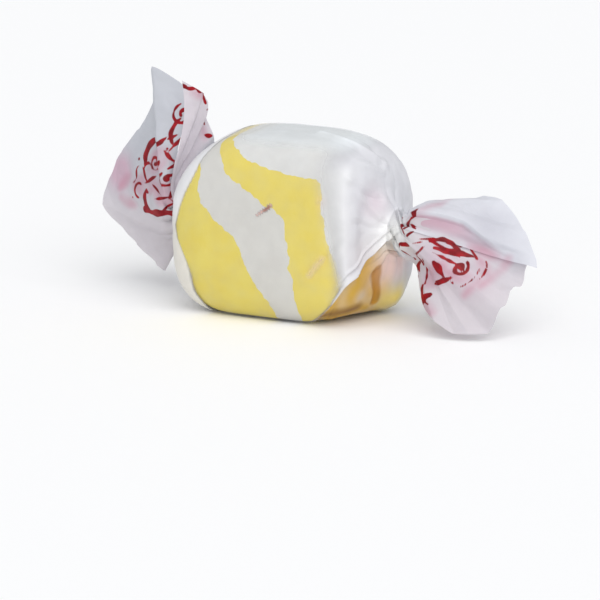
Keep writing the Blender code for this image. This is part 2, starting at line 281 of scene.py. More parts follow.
class Sheet:
    """The finely divided sheet and what is known of each of its points."""

    def __init__(self):
        rows, kinds = control_rows()
        points = np.array([row[0] for row in rows])
        turns = np.array([row[1] for row in rows])
        steps = np.linalg.norm(np.diff(points, axis=0), axis=2).mean(axis=1)
        knots = np.concatenate([[0.0], np.cumsum(steps)])
        wanted = [knots[0]]
        for index, kind in enumerate(kinds):
            for step in range(1, FINER[kind] + 1):
                wanted.append(knots[index] + (knots[index + 1] - knots[index]) * step / FINER[kind])
        self.place = np.array(wanted)
        self.points = smooth_rows(points, knots, self.place)
        self.turn = smooth_rows(turns, knots, self.place)
        fan, neck, shoulder = FAN_CONTROLS, NECK_CONTROLS, SHOULDER_CONTROLS
        marks = np.cumsum([0, fan, neck, shoulder, BODY_CONTROLS, shoulder, neck, fan])
        edges = knots[marks]
        # Each is 0 where its stretch begins and 1 at its outer end; the fan's stays 0 before that, and the
        # other two run on without end
        self.shoulder, self.neck, self.fan = {}, {}, {}
        for side, ends in (("left", edges[3::-1]), ("right", edges[4:])):
            shoulder_share, neck_share, fan_share = [
                (self.place - start) / (end - start) for start, end in zip(ends[:-1], ends[1:])]
            self.shoulder[side], self.neck[side] = shoulder_share, neck_share
            self.fan[side] = np.clip(fan_share, 0.0, 1.0)

    def normals(self):
        along = np.gradient(self.points, axis=0)
        across = np.gradient(self.points, axis=1)
        normal = np.cross(along, across)
        normal /= np.maximum(np.linalg.norm(normal, axis=2), TINY)[:, :, None]
        return -normal


SEED_STEPS = (17.3, 5.1, 11.7)


def field(points, scale, seed):
    """Soft noise from -1 to 1 at each point; scale is the size of its blobs in millimetres."""
    shift = Vector([seed * step for step in SEED_STEPS])
    flat = points.reshape(-1, 3) / scale
    values = [noise.noise(Vector(p) + shift) for p in flat.tolist()]
    return np.array(values).reshape(points.shape[:-1])


# What makes pleats uneven: shares of their sway, waves round the neck and shares of their seed
UNEVEN = ((1.0, 2.0, 1.0), (0.6, 5.0, 2.0))


def pleat_wave(turn, count, sway, seed):
    """Rounded ridges with sharp valleys between them, from 0 in a valley to 1 on a ridge."""
    uneven = sum(share * sway * np.sin(waves * turn + seeds * seed) for share, waves, seeds in UNEVEN)
    return np.abs(np.sin(0.5 * count * turn + uneven))


def seam_turn_at(x):
    return np.radians(np.interp(x, SEAM_PATH_X, SEAM_PATH_TURN))


# Where the inner layer of paper shows under the raised seam: along the roll, and in turns below the seam
INNER_ALONG, INNER_BELOW = (5.5, 9.0, 17.5, 19.0), (1.6, 1.1)
INNER_SOFTNESS = 0.03


def lower_right(x, turn, softness=INNER_SOFTNESS):
    """1 on the inner layer of paper that shows under the raised seam, with soft limits."""
    below = np.mod(seam_turn_at(x) - turn, 2.0 * math.pi)
    return between(*INNER_ALONG, x) * ramp(0.0, softness, below) * ramp(*INNER_BELOW, below)


def line_distance(points, line, widths):
    """How far each point lies from the edge of a line with these half widths; less than 0 inside it."""
    best = np.full(points.shape[:-1], FAR)
    for start, end, w0, w1 in zip(line[:-1], line[1:], widths[:-1], widths[1:]):
        way = end - start
        share = np.clip(((points - start) @ way) / max(way @ way, TINY), 0.0, 1.0)
        away = np.linalg.norm(points - start - share[..., None] * way, axis=-1) - (w0 + (w1 - w0) * share)
        best = np.minimum(best, away)
    return best


def near_line(points, line, width):
    """1 on a line through space and 0 beyond its width, with a soft fall."""
    return np.clip(1.0 - line_distance(points, np.array(line), np.zeros(len(line))) / width, 0.0, 1.0)


def near_point(points, centre, radius):
    """1 at a point in space and 0 beyond about twice the radius, with a soft fall."""
    return np.exp(-np.sum((points - np.array(centre)) ** 2, axis=-1) / radius ** 2)


# Creases of the paper on the disc: a line, how far it is raised and its width
CREASES = [
    ([(5.5, -1.5, 25.4), (9.5, -2.2, 24.9), (12.4, -1.4, 23.6), (14.0, 0.6, 21.8)], 0.60, 1.5),
    ([(9.0, 2.5, 25.0), (12.0, 1.5, 24.2), (13.8, 0.0, 21.8)], -0.35, 1.2),
    ([(12.2, -4.6, 22.6), (13.4, -3.0, 22.0), (14.4, -0.5, 20.8)], 0.45, 0.9),
    ([(12.9, -7.0, 20.0), (14.0, -4.8, 18.4), (15.2, -2.6, 17.6)], -0.35, 1.0),
    ([(12.6, -7.4, 21.0), (13.8, -5.6, 18.0), (15.2, -3.4, 15.2)], 0.35, 1.0),
    ([(13.2, -6.8, 15.0), (14.6, -5.0, 14.0), (16.0, -3.4, 13.8)], -0.30, 0.9),
    ([(14.9, -2.6, 6.8), (14.8, -1.2, 4.0), (13.9, -0.6, 2.0)], -0.7, 0.8),
    ([(-9.5, -8.6, 21.0), (-7.0, -6.8, 23.9), (-5.6, -4.0, 24.9)], 0.20, 0.8),
    ([(-4.5, -4.5, 25.2), (-1.0, -6.6, 24.9), (3.0, -7.0, 24.7)], 0.14, 0.9),
    ([(5.6, -9.5, 8.4), (7.2, -9.5, 10.6)], 0.10, 0.5),
]

# A small slit in the paper on the front, a pale pink streak and a faint spot on the stripe beside it
SLIT = [(-0.2, -9.5, 15.2), (1.9, -9.5, 16.8)]
SLIT_HEART = [(1.0, -9.5, 16.0), (1.7, -9.5, 16.6)]
PALE_STREAK = [(7.7, -9.4, 7.6), (9.6, -9.1, 10.1)]
SPOT = (9.1, -9.3, 17.8)

# Pleats of each neck: how many, how far they wind round it, a seed, and how deep their valleys are.
# They rise over the shoulder and fall off on the fan, and their valleys keep to the neck.
PLEATS = {"left": (11, 0.9, 0.7, 0.7), "right": (10, 1.3, 2.1, 0.35)}
PLEAT_SWAY = 0.9
PLEAT_LIFT = {"left": 0.45, "right": 0.30}
PLEAT_MIDDLE = 0.6
PLEAT_RISES, PLEAT_RISE_POWER = (-1.8, 1.0), 1.7
PLEAT_FALLS = (0.45, 0.0)
VALLEY_COMES, VALLEY_GOES = (-0.3, 0.3), (0.16, 0.0)

# Wrinkles of the paper: the sizes of their blobs, their seeds and their heights, and how strongly they
# show on the front, on the right side wall and on the fans
WRINKLES = ((4.0, 1, 0.5), (1.9, 2, 0.25))
WRINKLE_MIDDLE = 0.12
WRINKLES_FRONT, WRINKLES_WALL, WRINKLES_FAN = 0.05, 0.28, 0.50
WALL_COMES, FAN_COMES = (10.5, 13.5), (0.0, 0.3)
# Larger dents of the right side wall
DENT_SIZE, DENT_SEED, DENT_HEIGHT, DENT_MIDDLE = 6.5, 3, 0.32, 0.15

# Straight creases that run from each neck to the rim: places across the sheet, and heights at the rim
FOLDS_COME = (0.0, 0.7)
FAN_FOLDS = {
    "left": ([0.0, 0.03, 0.07, 0.10, 0.15, 0.19, 0.25, 0.29, 0.35, 0.41, 0.47, 0.53, 0.60, 0.66, 0.73, 0.80,
              0.86, 0.895, 0.925, 0.955, 0.98, 1.0],
             [0.05, 0.0, 0.08, 0.02, 0.10, -0.05, 0.15, -0.25, 0.20, 0.0, 0.5, -0.5, 0.5, -0.4, 0.5, -0.3,
              0.35, -0.35, 0.40, -0.25, 0.15, -0.05]),
    "right": ([0.0, 0.04, 0.07, 0.10, 0.14, 0.18, 0.21, 0.25, 0.28, 0.34, 0.40, 0.47, 0.54, 0.61, 0.68, 0.77,
               0.82, 0.87, 0.92, 1.0],
              [-0.1, 0.15, -0.2, 0.25, -0.20, 0.25, 0.0, 1.0, 0.9, -0.3, 0.4, -0.5, 0.4, -0.5, 0.0, 0.35,
               0.1, -0.10, 0.12, 0.0]),
}

# Notches in the cut edge of each fan: places across the sheet, and how far the edge steps back
NOTCHES = {
    "left": ([0.0, 0.02, 0.025, 0.07, 0.12, 0.125, 0.20, 0.21, 0.28, 0.33, 0.335, 0.38, 0.385, 0.40, 0.6,
              0.61, 0.8, 0.93, 0.935, 0.97, 1.0],
             [0.0, 0.3, 0.0, 0.0, 0.35, 0.0, 0.25, 0.0, 0.0, 0.45, 0.05, 0.5, 0.0, 0.0, 0.5,
              0.0, 0.3, 0.5, 0.0, 0.3, 0.0]),
    "right": ([0.0, 0.02, 0.046, 0.050, 0.060, 0.080, 0.090, 0.10, 0.12, 0.14, 0.3, 0.5, 0.51, 0.62, 0.66,
               0.70, 0.74, 0.768, 0.80, 0.84, 0.88, 0.92, 0.95, 0.97, 1.0],
              [0.0, 0.4, 0.4, 1.2, 1.25, 0.55, 0.25, 0.4, 0.1, 0.0, 0.0, 0.4, 0.0, 0.1, 0.9,
               1.7, 1.5, 1.3, 1.1, 1.0, 1.1, 0.7, 0.3, 0.0, 0.0]),
}
FAN_LENGTH = {"left": 16.0, "right": 18.0}

# The domed fold of the right fan: where its lower edge lies across the sheet, along the fan, the rise
# and the valley on the edge's two sides, and the shares of the fan where it comes in and goes out
DOME_EDGE = ((0.0, 0.1, 0.3, 0.5, 0.6, 0.7, 0.85, 1.0),
             (0.935, 0.93, 0.92, 0.922, 0.945, 0.965, 0.985, 0.995))
DOME_PROFILE = ((-0.08, -0.004, 0.010, 0.07), (0.0, 0.45, -0.50, 0.0))
DOME_ALONG = (0.0, 0.12, 0.5, 0.85)
# The right fan's outer edge settles on the layer under it
EDGE_SETTLES, EDGE_SETTLES_OVER = 0.6, 2.5
SETTLE_COMES, SETTLE_GOES = (0.0, 0.4), (0.95, 0.75)

# The free edge at the lower right stands off, a second fold runs beside it and the inner layer sinks
EDGE_LIFT, EDGE_LIFT_OVER, EDGE_LIFT_COMES = 0.38, 0.9, (5.0, 9.0)
FOLD_LIFT, FOLD_AT, FOLD_WIDTH, FOLD_COMES = 0.30, 1.35, 0.40, (10.0, 13.0)
INNER_SINKS = 0.75
CREASE_POWER = 1.4
# The creases of the disc run out halfway along the necks
CREASES_END = 0.5

# How far the sweet lies under the paper where the paper clings to it, and how much of the room under
# the paper a crease may take
PAPER_GAP = 0.10
DEEPEST_CREASE = 0.7

# How much deeper the sweet lies under the lap, under the inner layer at the lower right and at the two
# ends, and how much closer at the left of the front
LAP_INSET, LAP_LEAD, LAP_ENDS = 0.20, 0.15, (0.80, 0.62)
INNER_INSET, INNER_INSET_SOFTNESS = 0.85, 0.16
LEFT_END, LEFT_INSET = (-12.8, -14.8), 0.15
LEFT_LOW, LEFT_LOW_INSET = (12.0, 6.0), 0.25
RIGHT_END, RIGHT_INSET = (9.5, 13.8), 0.45
CLOSER, CLOSER_FROM, CLOSER_ABOVE = 0.06, (-7.0, -9.5), (0.4, 1.5)


def sweet_inset(x, turn, z):
    """How much deeper than its closest the sweet lies under the paper, in millimetres."""
    below = np.mod(turn - seam_turn_at(x) + LAP_LEAD, 2.0 * math.pi)
    lap = LAP_INSET * ramp(*LAP_ENDS, below)
    inner = INNER_INSET * lower_right(x, turn, INNER_INSET_SOFTNESS)
    left_end = ramp(*LEFT_END, x) * (LEFT_INSET + LEFT_LOW_INSET * ramp(*LEFT_LOW, z))
    right_end = RIGHT_INSET * ramp(*RIGHT_END, x)
    closer = CLOSER * ramp(*CLOSER_FROM, x) * ramp(*CLOSER_ABOVE, z)
    return lap + inner + left_end + right_end - closer


def cut_notches(sheet, side):
    """Pulls the fan's free rim back along the sheet, by the depth of its notches."""
    share = sheet.fan[side]
    rows = np.nonzero(share > 0.0)[0]
    if side == "left":
        rows = rows[::-1]
    along = share[rows]
    keep = 1.0 - np.interp(ACROSS, *NOTCHES[side]) / FAN_LENGTH[side]
    source = sheet.points[rows].copy()
    place = np.clip(np.searchsorted(along, along[:, None] * keep[None, :]) - 1, 0, len(rows) - 2)
    start, end = along[place], along[place + 1]
    t = np.clip((along[:, None] * keep[None, :] - start) / (end - start), 0.0, 1.0)[..., None]
    columns = np.arange(source.shape[1])[None, :]
    sheet.points[rows] = source[place, columns] * (1.0 - t) + source[place + 1, columns] * t


def dome_place(sheet):
    """How far across the sheet each point lies beyond the edge of the right fan's dome, and how strongly."""
    fan = sheet.fan["right"]
    place = ACROSS[None, :] - np.interp(fan, *DOME_EDGE)[:, None]
    return place, between(*DOME_ALONG, fan)[:, None]


def detail(sheet):
    """Moves the sheet's points into pleats, folds and small wrinkles."""
    for side in ("left", "right"):
        cut_notches(sheet, side)
    normals = sheet.normals()
    steps = np.linalg.norm(np.diff(sheet.points, axis=1), axis=2)
    # How far each point lies from the outer edge of the sheet, along its row
    sheet.edge = np.pad(np.cumsum(steps[:, ::-1], axis=1)[:, ::-1], ((0, 0), (0, 1)))
    x, z = sheet.points[:, :, 0], sheet.points[:, :, 2]
    outer_half = ACROSS > 0.5
    lift = np.zeros(x.shape)
    for side, (count, helix, seed, depth) in PLEATS.items():
        neck = sheet.neck[side][:, None]
        fan = sheet.fan[side][:, None]
        shoulder = sheet.shoulder[side][:, None]
        angle = sheet.turn + helix * np.clip(neck, 0.0, 1.0)
        wave = pleat_wave(angle, count, PLEAT_SWAY, seed)
        pleated = ramp(*PLEAT_RISES, shoulder) ** PLEAT_RISE_POWER * ramp(*PLEAT_FALLS, fan)
        lift += PLEAT_LIFT[side] * pleated * (wave - PLEAT_MIDDLE)
        in_neck = ramp(*VALLEY_COMES, neck) * ramp(*VALLEY_GOES, fan)
        lift -= depth * in_neck * (1.0 - wave) ** 2
        lift += np.interp(ACROSS, *FAN_FOLDS[side])[None, :] * ramp(*FOLDS_COME, fan)
    dome, on_dome = dome_place(sheet)
    lift += np.interp(dome, *DOME_PROFILE) * on_dome
    right_fan = sheet.fan["right"][:, None]
    settled = right_fan * outer_half * ramp(EDGE_SETTLES_OVER, 0.0, sheet.edge)
    lift -= EDGE_SETTLES * ramp(*SETTLE_COMES, settled) * ramp(*SETTLE_GOES, right_fan)
    wrinkled = sum(height * np.abs(field(sheet.points, size, seed)) for size, seed, height in WRINKLES)
    on_fan = ramp(*FAN_COMES, np.maximum(sheet.fan["left"], sheet.fan["right"]))[:, None]
    on_wall = ramp(*WALL_COMES, x) * (1.0 - on_fan)
    lift += (wrinkled - WRINKLE_MIDDLE) * (WRINKLES_FRONT + WRINKLES_WALL * on_wall + WRINKLES_FAN * on_fan)
    lift += DENT_HEIGHT * on_wall * (np.abs(field(sheet.points, DENT_SIZE, DENT_SEED)) - DENT_MIDDLE)
    on_disc = (np.maximum(sheet.neck["left"], sheet.neck["right"]) < CREASES_END)[:, None]
    for line, height, width in CREASES:
        lift += on_disc * height * near_line(sheet.points, line, width) ** CREASE_POWER
    inner = lower_right(x, sheet.turn) * on_disc
    free_edge = ramp(EDGE_LIFT_OVER, 0.0, sheet.edge) * outer_half * ramp(*EDGE_LIFT_COMES, x)
    fold = np.clip(1.0 - np.abs(sheet.edge - FOLD_AT) / FOLD_WIDTH, 0.0, 1.0) * ramp(*FOLD_COMES, x)
    lift += (EDGE_LIFT * free_edge + FOLD_LIFT * fold) * on_disc - INNER_SINKS * inner
    room = PAPER_GAP + sweet_inset(x, sheet.turn, z)
    lift = np.where(on_disc, np.maximum(lift, -DEEPEST_CREASE * room), lift)
    sheet.gap = room + lift * on_disc
    sheet.smooth = sheet.points.copy()
    sheet.points += normals * lift[:, :, None]
    sheet.points[:, :, 2] = np.maximum(sheet.points[:, :, 2], 0.0)


# The print on the two tails: generic scrolls, arcs, bars, waves and dots. Each part of the print is
# laid out on a plane, in millimetres: the fronts on x and z, and the left fan's side flap on y and z.
# A stroke is a line of points, and half its width at each of them.
SCROLL_STEPS, ARC_STEPS, BAR_STEPS, WAVE_STEPS = 26, 14, 7, 30
SCROLL_TIGHTENS, SCROLL_SWELLS = 0.80, (0.6, 1.25)
ARC_SWELLS, ARC_TIP, ARC_BODY = (0.25, 2.9), 0.45, 0.75
BAR_SWELLS, BAR_TAPER = (0.15, 3.0), 0.25
WAVE_TIP, WAVE_BODY = 0.6, 0.6
DOT_REACH = 0.01


def round_line(at, radius, angles):
    return np.stack([at[0] + radius * np.cos(angles), at[1] + radius * np.sin(angles)], axis=1)


def scroll(at, size, turns, start, way, width):
    angles = np.linspace(0.0, 2.0 * math.pi * turns, SCROLL_STEPS)
    radius = size * (1.0 - SCROLL_TIGHTENS * angles / angles[-1])
    return round_line(at, radius, start + way * angles), width * np.linspace(*SCROLL_SWELLS, SCROLL_STEPS)


def arc(at, radius, start, sweep, width):
    line = round_line(at, radius, start + sweep * np.linspace(0.0, 1.0, ARC_STEPS))
    return line, width * (ARC_TIP + ARC_BODY * np.sin(np.linspace(*ARC_SWELLS, ARC_STEPS)))


def bar(at, length, angle, width, taper=BAR_TAPER):
    reach = 0.5 * length * np.array([math.cos(angle), math.sin(angle)])
    line = np.array(at) + np.linspace(-1.0, 1.0, BAR_STEPS)[:, None] * reach
    return line, width * (taper + (1.0 - taper) * np.sin(np.linspace(*BAR_SWELLS, BAR_STEPS)))


def wave(at, length, angle, height, waves, width):
    t = np.linspace(-0.5, 0.5, WAVE_STEPS)
    along = np.array([math.cos(angle), math.sin(angle)])
    across = np.array([-along[1], along[0]])
    turn = 2.0 * math.pi * waves * t
    line = np.array(at) + t[:, None] * length * along + (height * np.sin(turn))[:, None] * across
    return line, width * (WAVE_TIP + WAVE_BODY * np.abs(np.cos(turn)))


def dot(at, size):
    return np.array([at, (at[0] + DOT_REACH, at[1])]), np.full(2, size)


# The strokes: two places on the plane, then the numbers that each kind of stroke takes
PRINT = {
    "left": {
        scroll: [
            (-17.5, 26.0, 1.55, 1.25, 1.9, 1.0, 0.26), (-21.0, 19.2, 1.25, 1.3, 0.3, -1.0, 0.22),
            (-18.4, 17.2, 1.15, 1.2, 2.4, 1.0, 0.24),
        ],
        arc: [
            (-16.2, 23.4, 2.6, 2.2, 1.5, 0.26), (-20.2, 19.4, 3.1, 1.9, 1.5, 0.5),
            (-23.9, 14.8, 1.0, 1.2, 3.6, 0.18), (-20.6, 14.2, 1.9, 2.6, 1.7, 0.34),
            (-22.4, 17.9, 0.9, 0.4, 2.6, 0.18),
        ],
        bar: [
            (-18.6, 22.9, 1.8, 0.5, 0.2), (-18.0, 22.0, 2.6, 0.9, 0.24), (-20.3, 22.0, 2.4, 0.7, 0.34),
            (-18.7, 20.3, 2.2, 2.3, 0.26), (-17.8, 19.1, 1.8, 0.6, 0.3), (-23.0, 17.2, 2.2, 2.2, 0.26),
            (-21.6, 16.7, 2.6, 0.55, 0.28), (-20.1, 15.6, 2.4, 2.6, 0.2), (-19.2, 14.5, 2.6, 0.2, 0.22),
            (-17.9, 15.2, 1.6, 1.4, 0.22), (-18.2, 13.3, 2.0, 0.7, 0.2), (-16.9, 17.0, 1.4, 1.2, 0.22),
            (-17.4, 13.9, 1.4, 2.4, 0.18),
        ],
        wave: [(-24.9, 16.9, 2.6, 1.2, 0.25, 1.0, 0.14), (-19.7, 12.4, 5.4, -0.08, 0.3, 0.8, 0.44)],
        dot: [(-19.0, 21.3, 0.24), (-22.0, 14.9, 0.26), (-25.3, 13.6, 0.16), (-24.6, 19.0, 0.2)],
    },
    "flap": {
        bar: [(1.2, 28.7, 2.4, -0.95, 0.22), (3.7, 24.9, 1.6, -1.1, 0.2), (4.7, 22.7, 1.1, -0.2, 0.34)],
        wave: [(-0.9, 30.3, 2.8, -0.4, 0.16, 1.5, 0.2)],
        dot: [(2.4, 26.9, 0.16), (5.3, 21.0, 0.26)],
    },
    "right": {
        scroll: [(27.6, 9.5, 1.05, 1.1, 0.8, -1.0, 0.3)],
        arc: [
            (24.6, 9.2, 4.0, 0.9, 1.0, 0.36), (25.0, 10.4, 2.3, 0.2, 1.2, 0.22),
            (23.2, 8.0, 2.4, 2.4, 1.8, 0.34), (24.9, 6.4, 2.2, 3.0, 1.3, 0.2),
            (29.0, 9.4, 1.7, -0.9, 1.5, 0.14), (27.0, 10.0, 3.0, -1.2, 1.0, 0.1),
        ],
        bar: [
            (19.9, 15.2, 2.8, 0.95, 0.24, 0.5), (18.8, 13.9, 1.3, -0.9, 0.16, 0.5),
            (19.5, 12.0, 1.5, 0.1, 0.34, 0.7), (19.2, 10.6, 1.4, -0.6, 0.18, 0.5),
            (20.3, 13.6, 1.5, 0.6, 0.17), (18.4, 11.6, 0.9, 1.3, 0.16), (20.6, 14.6, 1.0, -0.3, 0.14),
            (23.0, 13.2, 2.6, 0.1, 0.16), (26.4, 11.5, 5.0, -0.22, 0.4, 0.3),
            (26.0, 10.5, 4.6, -0.42, 0.2, 0.3), (24.9, 9.4, 2.2, -0.9, 0.48, 0.3),
            (25.4, 7.7, 2.8, 0.45, 0.4, 0.3), (22.7, 8.7, 3.6, -1.45, 0.18),
            (23.3, 5.0, 1.9, 0.8, 0.52, 0.4), (21.8, 11.3, 2.6, 0.8, 0.18), (21.4, 10.2, 2.2, -0.9, 0.16),
            (28.8, 11.3, 2.0, -0.9, 0.2), (21.6, 12.6, 1.4, 0.2, 0.14), (24.4, 12.4, 2.2, -0.5, 0.18),
            (21.3, 8.9, 1.2, -1.1, 0.22),
        ],
        dot: [(18.3, 15.0, 0.2), (20.4, 9.9, 0.22), (26.9, 7.6, 0.16), (21.4, 7.6, 0.22)],
    },
}
# Which part of the sheet carries each part of the print: the fan, its columns as shares of the sheet's
# width, which count back from the outer edge below 0, and the plane's two axes
PRINT_PLACE = {
    "left": ("left", (0.0, 0.42), (0, 2)),
    "flap": ("left", (0.84, 1.0), (1, 2)),
    "right": ("right", (-0.25, 0.32), (0, 2)),
}
# The same print seen through a layer of paper, as soft bars: two places, length, angle and width
GHOST = {
    "left": [(-27.4, 15.4, 2.6, 0.9, 0.5), (-26.2, 12.9, 3.0, -0.2, 0.5), (-22.6, 15.8, 4.6, 0.2, 1.3),
             (-20.6, 19.4, 4.0, 0.8, 1.3), (-19.0, 15.2, 3.0, -0.9, 1.3)],
    "flap": [(0.2, 29.4, 1.6, -0.5, 0.4), (3.9, 23.2, 1.6, -1.2, 0.25)],
    "right": [(30.6, 11.6, 4.4, -0.42, 0.7), (33.0, 10.4, 1.6, 0.9, 0.4), (30.6, 9.4, 3.2, -0.9, 0.25),
              (31.6, 8.4, 3.4, 0.75, 0.25), (29.4, 7.0, 2.6, 0.9, 0.2), (24.4, 8.4, 3.4, 0.9, 1.1),
              (23.6, 4.0, 2.2, -0.6, 0.6), (21.8, 16.6, 2.8, 0.42, 0.12), (27.4, 8.6, 2.6, -0.3, 0.5)],
}
GHOST_FADES = (0.9, -0.3)
GHOST_MEAN, GHOST_SWAY, GHOST_BLOBS, GHOST_SEED = 0.80, 0.6, 2.2, 6
INK_SWAY, INK_BLOBS, INK_SEED = 0.14, 0.9, 5
NO_INK = 9.0


def printed(sheet):
    """The distance to the print's edge and the strength of the pink behind it, at each point."""
    ink = np.full(sheet.points.shape[:2], NO_INK)
    ghost = np.zeros(sheet.points.shape[:2])
    for name, (side, (first, last), axes) in PRINT_PLACE.items():
        rows = np.nonzero(sheet.neck[side] > 0.0)[0]
        share = ACROSS if first >= 0.0 else np.where(ACROSS > 0.5, ACROSS - 1.0, ACROSS)
        columns = np.nonzero((share >= first) & (share <= last))[0]
        part = np.ix_(rows, columns)
        flat = sheet.smooth[part][..., list(axes)]
        for kind, strokes in PRINT[name].items():
            for stroke in strokes:
                ink[part] = np.minimum(ink[part], line_distance(flat, *kind(stroke[:2], *stroke[2:])))
        for stroke in GHOST[name]:
            away = line_distance(flat, *bar(stroke[:2], *stroke[2:]))
            ghost[part] = np.maximum(ghost[part], ramp(*GHOST_FADES, away))
    ink += INK_SWAY * field(sheet.points, INK_BLOBS, INK_SEED)
    ghost *= GHOST_MEAN + GHOST_SWAY * field(sheet.points, GHOST_BLOBS, GHOST_SEED)
    return ink, np.clip(ghost, 0.0, 1.0)


def placed(name, data):
    thing = bpy.data.objects.new(name, data)
    bpy.context.scene.collection.objects.link(thing)
    return thing


def placed_mesh(name, mesh, material):
    mesh.validate()
    if material:
        mesh.materials.append(material)
    return placed(name, mesh)


def grid_object(name, vertices, faces, material):
    """A smooth object of faces that all have as many corners."""
    mesh = bpy.data.meshes.new(name)
    mesh.vertices.add(len(vertices))
    mesh.vertices.foreach_set("co", (np.asarray(vertices) * MM).astype(np.float32).ravel())
    corners = np.asarray(faces, dtype=np.int32)
    mesh.loops.add(corners.size)
    mesh.loops.foreach_set("vertex_index", corners.ravel())
    mesh.polygons.add(len(corners))
    mesh.polygons.foreach_set("loop_start", np.arange(0, corners.size, corners.shape[1], dtype=np.int32))
    mesh.update(calc_edges=True)
    mesh.shade_smooth()
    return placed_mesh(name, mesh, material)


def grid_faces(rows, columns):
    index = np.arange(rows * columns).reshape(rows, columns)
    return np.stack([index[:-1, :-1], index[:-1, 1:], index[1:, 1:], index[1:, :-1]], axis=-1).reshape(-1, 4)


def add_values(thing, name, values, kind="FLOAT", field_name="value"):
    made = thing.data.attributes.new(name, kind, "POINT")
    made.data.foreach_set(field_name, values.astype(np.float32).ravel())


def add_tint(thing, values):
    opaque = np.concatenate([values, np.ones(values.shape[:-1] + (1,))], axis=-1)
    add_values(thing, "tint", opaque, "FLOAT_COLOR", "color")


class Nodes:
    """Short ways to add shader nodes to one material."""

    def __init__(self, name):
        self.material = bpy.data.materials.new(name)
        self.material.use_nodes = True
        self.tree = self.material.node_tree
        self.shader = self.tree.nodes["Principled BSDF"]

    def put(self, socket, value):
        if isinstance(value, (int, float)):
            socket.default_value = value
        elif isinstance(value, tuple):
            socket.default_value = (*value, 1.0)
        else:
            self.tree.links.new(value, socket)

    def fill(self, node, values):
        for socket, value in values.items():
            self.put(node.inputs[socket], value)

    def add(self, kind, values):
        node = self.tree.nodes.new("ShaderNode" + kind)
        self.fill(node, values)
        return node

    def attribute(self, name, output="Fac"):
        node = self.add("Attribute", {})
        node.attribute_name = name
        return node.outputs[output]

    def noise(self, scale, detail=2.0, roughness=0.5):
        """Noise whose blobs are about this many millimetres."""
        place = self.add("TexCoord", {}).outputs["Object"]
        values = {"Vector": place, "Scale": 1.0 / (scale * MM), "Detail": detail, "Roughness": roughness}
        return self.add("TexNoise", values).outputs["Fac"]

    def mix(self, share, first, second):
        node = self.add("Mix", {})
        node.data_type = "RGBA"
        self.fill(node, {"Factor": share, 6: first, 7: second})
        return node.outputs[2]

    def span(self, value, low, high, to_low=0.0, to_high=1.0):
        limits = {"From Min": low, "From Max": high, "To Min": to_low, "To Max": to_high}
        node = self.add("MapRange", {"Value": value, **limits})
        node.interpolation_type = "SMOOTHSTEP"
        return node.outputs["Result"]

    def total(self, first, second):
        return self.add("Math", {0: first, 1: second}).outputs[0]

    def let_through(self, colour, share):
        """Lets part of the light that falls on the other face of a thin sheet through."""
        thin = self.add("BsdfTranslucent", {"Color": colour})
        both = {0: share, 1: self.shader.outputs["BSDF"], 2: thin.outputs["BSDF"]}
        blend = self.add("MixShader", both)
        self.fill(self.tree.nodes["Material Output"], {"Surface": blend.outputs["Shader"]})

    def surface(self, colour, roughness, specular):
        values = {"Base Color": colour, "Roughness": roughness, "Specular IOR Level": specular}
        self.fill(self.shader, values)

    def bump(self, height, strength, distance):
        node = self.add("Bump", {"Height": height, "Strength": strength, "Distance": distance * MM})
        self.fill(self.shader, {"Normal": node.outputs["Normal"]})


# Colours of the paper: over the sweet, on the tails, and what shows through it in places
PAPER_DISC = (0.65, 0.65, 0.68)
# The same paper on the two tails, the left one painted darker as painted shade and the right one painted
# lighter as painted light
PAPER_TAIL_LIT_AND_SHADED = {"left": (0.585, 0.60, 0.645), "right": (0.77, 0.78, 0.83)}
PAPER_FLAP = (0.76, 0.705, 0.755)
# The low part of the right fan: a rose cast, painted darker as painted shade
PAPER_LOW_RIGHT_SHADED = (0.67, 0.625, 0.66)
PAPER_LOW_LEFT = (0.72, 0.68, 0.715)
PAPER_RIM = (0.84, 0.81, 0.74)
PAPER_RIM_TOP = (0.86, 0.86, 0.88)
# The top of the disc painted lighter and bluer: painted light from above
PAPER_TOP_PAINTED_LIGHT = (0.90, 0.94, 0.97)
PAPER_SHADE = (0.60, 0.60, 0.66)
PAPER_LILAC = (0.68, 0.60, 0.65)
PAPER_BLUSH = (0.56, 0.50, 0.50)
# Painted light: on the right neck, on the rim at the top left and in a band along the right of the front
PAPER_PAINTED_LIGHT = (0.92, 0.92, 0.90)
# The valley under the right fan's dome: pink of the print behind it, darkened as painted shade
PAPER_VALLEY_PINK_SHADE = (0.60, 0.33, 0.42)
# Darker rose where the print shows through the fans, with painted shade
PAPER_ROSE_SHADE = (0.64, 0.46, 0.55)
SLIT_BROWN = (0.30, 0.09, 0.05)
SLIT_ROSE = (0.62, 0.36, 0.30)
PALE_ROSE = (0.82, 0.66, 0.60)
# The inner layer at the lower right: the yellow sweet through the milky paper, darkened as painted shade
# under the raised seam
PAPER_TAN_AND_SHADE = (0.63, 0.375, 0.035)
# The crease of the inner layer: the yellow of the sweet through the pinched paper, deepened as painted shade
PAPER_AMBER_AND_SHADE = (0.50, 0.22, 0.004)
# Painted shadow: along the bottom at the lower right, where the sweet rests, and beside the crease there
PAPER_BROWN_SHADOW = (0.20, 0.085, 0.015)
PAPER_LEMON = (0.92, 0.74, 0.20)
PAPER_ROSE = (1.0, 0.76, 0.71)
INK = (0.40, 0.004, 0.012)
INK_DARK = (0.20, 0.002, 0.007)
PINK = (0.60, 0.22, 0.32)
GHOST_SHARE = 0.5
# How far out on the shoulders the see-through material gives way to that of the tails
TAILS_FROM = 0.98


